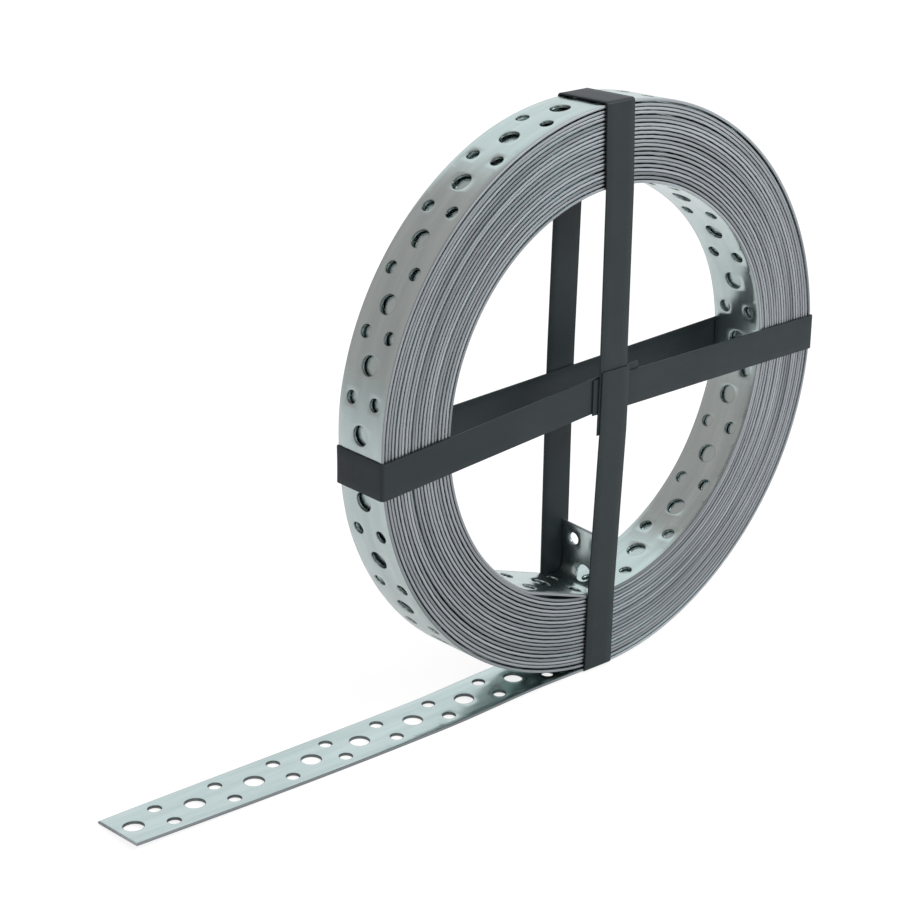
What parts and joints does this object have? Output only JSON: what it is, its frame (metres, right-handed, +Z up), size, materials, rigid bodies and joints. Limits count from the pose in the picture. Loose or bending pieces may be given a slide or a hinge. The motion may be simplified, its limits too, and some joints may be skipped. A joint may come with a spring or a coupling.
{
  "type": "coil of perforated stainless steel strip",
  "caption": "Strapped coil of perforated stainless steel strip standing on its rim, with its outer end run out along the floor and its inner end bent up in the bore.",
  "frame": {"origin": "on the floor under the coil's centre, at the middle of the strip's width, on the underside of the upright strap", "axes": "+Z up, +Y along the coil's axis towards its back face, -X along the strip's outer end that runs out on the floor"},
  "size_m": [0.276, 0.0238, 0.1882],
  "materials": {
    "strip_steel": "smooth cold-rolled stainless steel, light blue-grey reflections",
    "strap_plastic": "matt dark slate plastic strapping"
  },
  "bodies": {
    "root": {"perforated_strip": "strip_steel", "strap_across": "strap_plastic", "strap_upright": "strap_plastic"}
  },
  "joints": []
}
